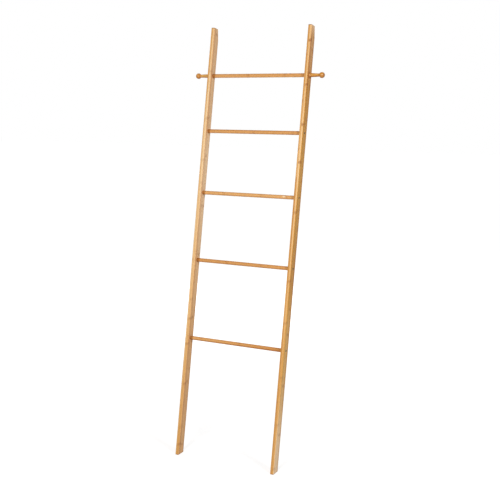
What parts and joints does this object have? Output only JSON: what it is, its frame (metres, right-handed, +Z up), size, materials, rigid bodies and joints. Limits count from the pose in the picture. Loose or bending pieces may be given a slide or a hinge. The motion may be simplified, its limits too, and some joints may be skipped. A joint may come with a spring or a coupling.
{
  "type": "blanket ladder",
  "caption": "Leaning bamboo blanket ladder: flat side rails, round rungs in sockets and a turned hanging peg outside each rail at the top rung.",
  "frame": {"origin": "on the floor, half way between the rails and half way between the front of the feet and the wall", "axes": "+X along the rungs to the right as seen from the front, +Y towards the wall, +Z up; the ladder leans back by 10.5 degrees as it does in use"},
  "size_m": [0.591, 0.3592, 1.7732],
  "materials": {
    "rail_bamboo": "satin clear lacquer on strip-laminated bamboo",
    "rung_bamboo": "satin clear lacquer on turned bamboo",
    "peg_bamboo": "glossy clear lacquer on turned bamboo",
    "screw_steel": "dark bronze-grey plating",
    "stud_steel": "zinc plated",
    "insert_brass": "plain brass"
  },
  "bodies": {
    "root": {"left_rail": "rail_bamboo", "right_rail": "rail_bamboo", "top_rung": "rung_bamboo", "second_rung": "rung_bamboo", "third_rung": "rung_bamboo", "fourth_rung": "rung_bamboo", "bottom_rung": "rung_bamboo", "left_end_peg": "peg_bamboo", "left_peg_stud": "stud_steel", "left_rung_insert": "insert_brass", "left_second_rung_screw": "screw_steel", "left_third_rung_screw": "screw_steel", "left_fourth_rung_screw": "screw_steel", "left_bottom_rung_screw": "screw_steel", "right_end_peg": "peg_bamboo", "right_peg_stud": "stud_steel", "right_rung_insert": "insert_brass", "right_second_rung_screw": "screw_steel", "right_third_rung_screw": "screw_steel", "right_fourth_rung_screw": "screw_steel", "right_bottom_rung_screw": "screw_steel"}
  },
  "joints": []
}
